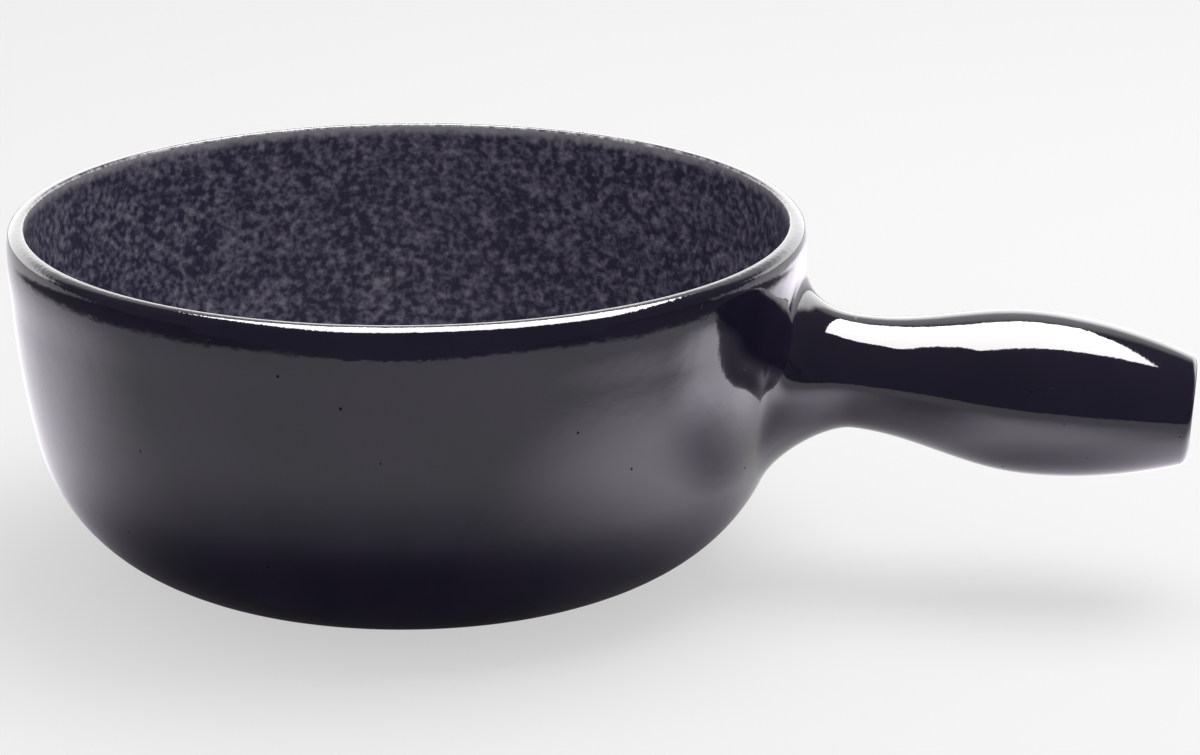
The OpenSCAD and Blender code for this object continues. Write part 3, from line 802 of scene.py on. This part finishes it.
class FONDUE_POT_OT_studio(bpy.types.Operator):
    """Set up the pale floor, the soft light and the camera"""

    bl_idname = "fondue_pot.studio"
    bl_label = "Studio"

    def execute(self, context):
        studio = context.scene.pot_studio
        self.lay_floor(studio)
        self.hang_softbox(studio)
        self.stand_flag(studio)
        self.light_room(context.scene, studio)
        self.place_camera(context.scene, studio)
        context.scene.view_settings.view_transform = "Standard"
        return {"FINISHED"}

    def lay_floor(self, studio):
        """A pale round floor, which a camera under it sees through."""
        bpy.ops.object.select_all(action="DESELECT")
        bpy.ops.mesh.primitive_circle_add(vertices=96, radius=5.0, fill_type="NGON", location=(0, 0, 0))
        floor = bpy.context.active_object
        floor.name = "floor"
        material, tree = new_material("pale_floor")
        place = add_node(tree, "ShaderNodeTexCoord").outputs["Object"]
        rays = add_node(tree, "ShaderNodeLightPath").outputs
        gloss = rays["Is Glossy Ray"]
        cloud = grain(tree, place, per_metre=6.0, detail=2.0)
        shade = [value * 0.985 for value in studio.floor]
        body = blend(tree, cloud, rgba(shade), rgba(studio.floor))
        dark = self.floor_shade(tree, place, studio)
        body = blend(tree, calc(tree, "MULTIPLY", dark, gloss), body, BLACK)
        matte = add_node(tree, "ShaderNodeBsdfDiffuse", Color=body)
        lit = self.floor_light(tree, place, studio)
        lit = calc(tree, "MULTIPLY", lit, calc(tree, "SUBTRACT", 1.0, dark))
        lit = calc(tree, "MULTIPLY", lit, gloss)
        glow = add_node(tree, "ShaderNodeEmission", Color=LIT_TINT, Strength=lit)
        sheet = add_node(tree, "ShaderNodeAddShader", in0=matte.outputs[0], in1=glow.outputs[0])
        white = add_node(tree, "ShaderNodeEmission", Strength=1.0)
        lifted = calc(tree, "MULTIPLY", rays["Is Camera Ray"], studio.whiteness)
        sheet = add_node(tree, "ShaderNodeMixShader", in0=lifted, in1=sheet.outputs[0], in2=white.outputs[0])
        clear = add_node(tree, "ShaderNodeBsdfTransparent")
        under = add_node(tree, "ShaderNodeNewGeometry").outputs["Backfacing"]
        through = calc(tree, "MULTIPLY", under, rays["Is Camera Ray"])
        sheet = add_node(tree, "ShaderNodeMixShader", in0=through, in1=sheet.outputs[0], in2=clear.outputs[0])
        add_node(tree, "ShaderNodeOutputMaterial", Surface=sheet.outputs[0])
        material.cycles.emission_sampling = "NONE"
        dress(floor, material)

    def floor_shade(self, tree, place, studio):
        """How dark the gloss sees the floor: under the pot and the grip, and far off in front and beside."""
        pot_at = self.from_camera(studio, 0.0, POT_SHADE_BEHIND)
        under_pot = ramp(tree, self.distance(tree, place, pot_at), *POT_SHADE)
        under_grip = ramp(tree, self.distance(tree, place, (GRIP_SHADE_X, 0.0, 0.0)), *GRIP_SHADE)
        near = calc(tree, "MAXIMUM", under_pot, under_grip)
        behind = self.towards(tree, place, self.from_camera(studio, 0.0, 1.0))
        far = ramp(tree, self.distance(tree, place, (0.0, 0.0, 0.0)), *FAR_SHADE)
        far = calc(tree, "MULTIPLY", far, ramp(tree, behind, *FAR_SHADE_BEHIND))
        return calc(tree, "MAXIMUM", near, far)

    def floor_light(self, tree, place, studio):
        """How much brighter the gloss sees the floor: lit behind the pot, and in the pools of light."""
        behind = self.towards(tree, place, self.from_camera(studio, 0.0, 1.0))
        right = self.towards(tree, place, self.from_camera(studio, 1.0, 0.0))
        lit = ramp(tree, behind, *LIT_BEHIND, 0.0, studio.floor_glow)
        side = calc(tree, "MAXIMUM", ramp(tree, right, *LIT_RIGHT), ramp(tree, behind, *LIT_RIGHT_BEHIND))
        lit = calc(tree, "MULTIPLY", lit, side)
        fall = ramp(tree, self.distance(tree, place, (0.0, 0.0, 0.0)), *LIT_FALL)
        lit = calc(tree, "MULTIPLY", lit, fall)
        for to_right, to_back, reach, core, power in LIGHT_POOLS:
            spot = self.from_camera(studio, to_right, to_back)
            pool = ramp(tree, self.distance(tree, place, spot), reach, core, 0.0, studio.pool_glow * power)
            lit = calc(tree, "ADD", lit, pool)
        return lit

    def from_camera(self, studio, right, back):
        """The place on the floor so far to the camera's right and so far behind the pot."""
        turn = studio.camera_turn[2]
        x = right * math.cos(turn) - back * math.sin(turn)
        y = right * math.sin(turn) + back * math.cos(turn)
        return (x, y, 0.0)

    def towards(self, tree, place, way):
        """How far a place or a direction lies along a way."""
        made = add_node(tree, "ShaderNodeVectorMath", {"operation": "DOT_PRODUCT"}, in0=place, in1=way)
        return made.outputs["Value"]

    def distance(self, tree, place, spot):
        """How far a place lies from a spot."""
        made = add_node(tree, "ShaderNodeVectorMath", {"operation": "DISTANCE"}, in0=place, in1=spot)
        return made.outputs["Value"]

    def light_card(self, card, name, finish, tint, strength):
        """Makes a card glow and shows it in reflections alone."""
        card.name = name
        material, tree = new_material(finish)
        glow = add_node(tree, "ShaderNodeEmission", Color=tint, Strength=strength)
        add_node(tree, "ShaderNodeOutputMaterial", Surface=glow.outputs[0])
        dress(card, material)
        card.visible_camera = False
        card.visible_diffuse = False
        card.visible_shadow = False

    def hang_softbox(self, studio):
        """The bright sheet of the softbox over the pot, as the gloss sees it, and its soft lamp."""
        bpy.ops.object.select_all(action="DESELECT")
        turn = (0.0, 0.0, BOX_TURN)
        bpy.ops.mesh.primitive_plane_add(size=BOX_SIZE, location=BOX_PLACE, rotation=turn)
        bpy.ops.object.transform_apply(location=True, rotation=True, scale=True)
        self.light_card(bpy.context.active_object, "softbox", "softbox_sheet", BOX_TINT, studio.box_glow)
        bpy.ops.object.light_add(type="AREA", location=LAMP_PLACE, rotation=turn)
        lamp = bpy.context.active_object
        lamp.name = "soft_lamp"
        lamp.data.shape = "SQUARE"
        lamp.data.size = BOX_SIZE
        lamp.data.energy = studio.lamp
        lamp.visible_glossy = False
        lamp.visible_camera = False

    def stand_flag(self, studio):
        """A low dark flag across the front of the floor, which the gloss sees in place of the room."""
        bpy.ops.object.select_all(action="DESELECT")
        wide, high = FLAG_SIZE
        place = Vector(self.from_camera(studio, 0.0, FLAG_BEHIND)) + Vector((0.0, 0.0, high / 2))
        turn = (math.pi / 2, 0.0, studio.camera_turn[2])
        bpy.ops.mesh.primitive_plane_add(size=1.0, location=place, rotation=turn)
        bpy.ops.transform.resize(value=(wide, high, 1.0), orient_type="LOCAL")
        bpy.ops.object.transform_apply(location=True, rotation=True, scale=True)
        # Painted reflection: the flag is a dim glowing card, which the gloss sees in place of the dark room
        self.light_card(bpy.context.active_object, "dark_flag", "black_cloth", FLAG_TINT, 1.0)

    def light_room(self, scene, studio):
        """A plain level of light from all round; the gloss sees a lit backdrop under a dim ceiling."""
        world = bpy.data.worlds.new("studio_room")
        world.use_nodes = True
        tree = world.node_tree
        tree.nodes.clear()
        rays = add_node(tree, "ShaderNodeLightPath").outputs
        way = add_node(tree, "ShaderNodeTexCoord").outputs["Generated"]
        up = add_node(tree, "ShaderNodeSeparateXYZ", Vector=way).outputs[2]
        behind = self.towards(tree, way, self.from_camera(studio, 0.0, 1.0))
        wall = ramp(tree, behind, *WALL_BACK, DIM_LEVEL, studio.back_glow)
        ceiling = ramp(tree, behind, *CEILING_BACK, DIM_LEVEL, CEILING_LEVEL)
        height = ramp(tree, up, *CEILING_UP)
        room = add_node(tree, "ShaderNodeMix", {"data_type": "FLOAT"}, in0=height, in2=wall, in3=ceiling)
        room = room.outputs[0]
        plain_white = calc(tree, "SUBTRACT", 1.0, room)
        plain_white = calc(tree, "MULTIPLY", plain_white, rays["Is Camera Ray"])
        seen = calc(tree, "ADD", room, plain_white)
        gloss = calc(tree, "MAXIMUM", rays["Is Glossy Ray"], rays["Is Transmission Ray"])
        look = calc(tree, "MAXIMUM", gloss, rays["Is Camera Ray"])
        plain = add_node(tree, "ShaderNodeBackground", Color=WHITE, Strength=studio.level)
        shown = add_node(tree, "ShaderNodeBackground", Color=WHITE, Strength=seen)
        light = add_node(tree, "ShaderNodeMixShader", in0=look, in1=plain.outputs[0], in2=shown.outputs[0])
        add_node(tree, "ShaderNodeOutputWorld", Surface=light.outputs[0])
        scene.world = world

    def place_camera(self, scene, studio):
        """The camera, in front of the pot and above it, with the handle to the right."""
        bpy.ops.object.camera_add(location=studio.camera_at, rotation=studio.camera_turn)
        camera = bpy.context.active_object
        camera.name = "camera"
        camera.data.sensor_fit = "HORIZONTAL"
        camera.data.sensor_width = 36.0
        camera.data.lens = studio.lens
        scene.camera = camera


class FONDUE_POT_PT_sidebar(bpy.types.Panel):
    """The pot's pieces and values"""

    bl_idname = "FONDUE_POT_PT_sidebar"
    bl_label = "Fondue Pot"
    bl_space_type = "VIEW_3D"
    bl_region_type = "UI"
    bl_category = "Fondue Pot"

    def draw(self, context):
        layout = self.layout
        for operator in OPERATORS:
            layout.operator(operator.bl_idname)
        for group in (context.scene.pot_sizes, context.scene.pot_finishes, context.scene.pot_studio):
            box = layout.box()
            for key in group.__annotations__:
                box.prop(group, key)


OPERATORS = (FONDUE_POT_OT_dark_skin, FONDUE_POT_OT_liner, FONDUE_POT_OT_clay, FONDUE_POT_OT_studio)
CLASSES = (PotSizes, PotFinishes, PotStudio) + OPERATORS + (FONDUE_POT_PT_sidebar,)


def register():
    for item in CLASSES:
        bpy.utils.register_class(item)
    bpy.types.Scene.pot_sizes = PointerProperty(type=PotSizes)
    bpy.types.Scene.pot_finishes = PointerProperty(type=PotFinishes)
    bpy.types.Scene.pot_studio = PointerProperty(type=PotStudio)


def unregister():
    del bpy.types.Scene.pot_studio
    del bpy.types.Scene.pot_finishes
    del bpy.types.Scene.pot_sizes
    for item in reversed(CLASSES):
        bpy.utils.unregister_class(item)


def main():
    register()
    bpy.ops.fondue_pot.dark_skin()
    bpy.ops.fondue_pot.liner()
    bpy.ops.fondue_pot.clay()
    bpy.ops.fondue_pot.studio()


if __name__ == "__main__":
    main()
